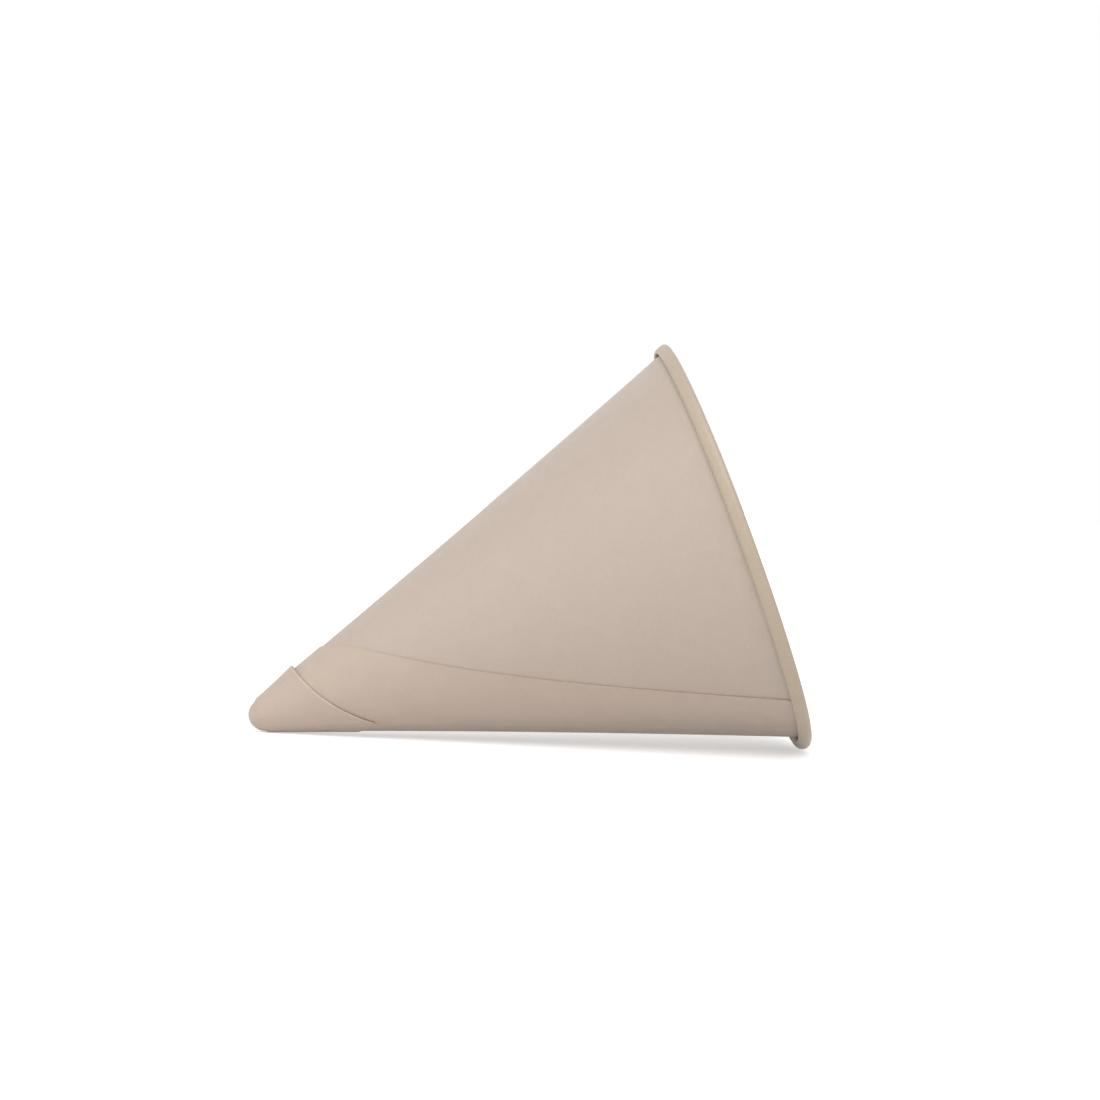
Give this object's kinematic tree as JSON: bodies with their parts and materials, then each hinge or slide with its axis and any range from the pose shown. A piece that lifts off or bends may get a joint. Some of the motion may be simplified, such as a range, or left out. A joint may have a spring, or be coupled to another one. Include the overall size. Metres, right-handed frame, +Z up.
{
  "type": "cone paper cup",
  "caption": "Cone drinking cup wound from one sheet of thin natural paper, with a slanting glued lap, a wrapped blunt tip and an outward rolled rim, lying on its side.",
  "frame": {"origin": "centre of the bounding box's bottom face, on the surface that the cup lies on", "axes": "+X level, from the closed tip towards the mouth; +Z up; the cup's own axis lies in the XZ plane and rises about 22 degrees towards the mouth"},
  "size_m": [0.0958, 0.072, 0.0684],
  "materials": {
    "natural_paper": "thin unbleached beige paper, smooth and slightly translucent, with a faint cloudy fibre pattern and a soft satin sheen"
  },
  "bodies": {
    "root": {"cone_cup": "natural_paper"}
  },
  "joints": []
}
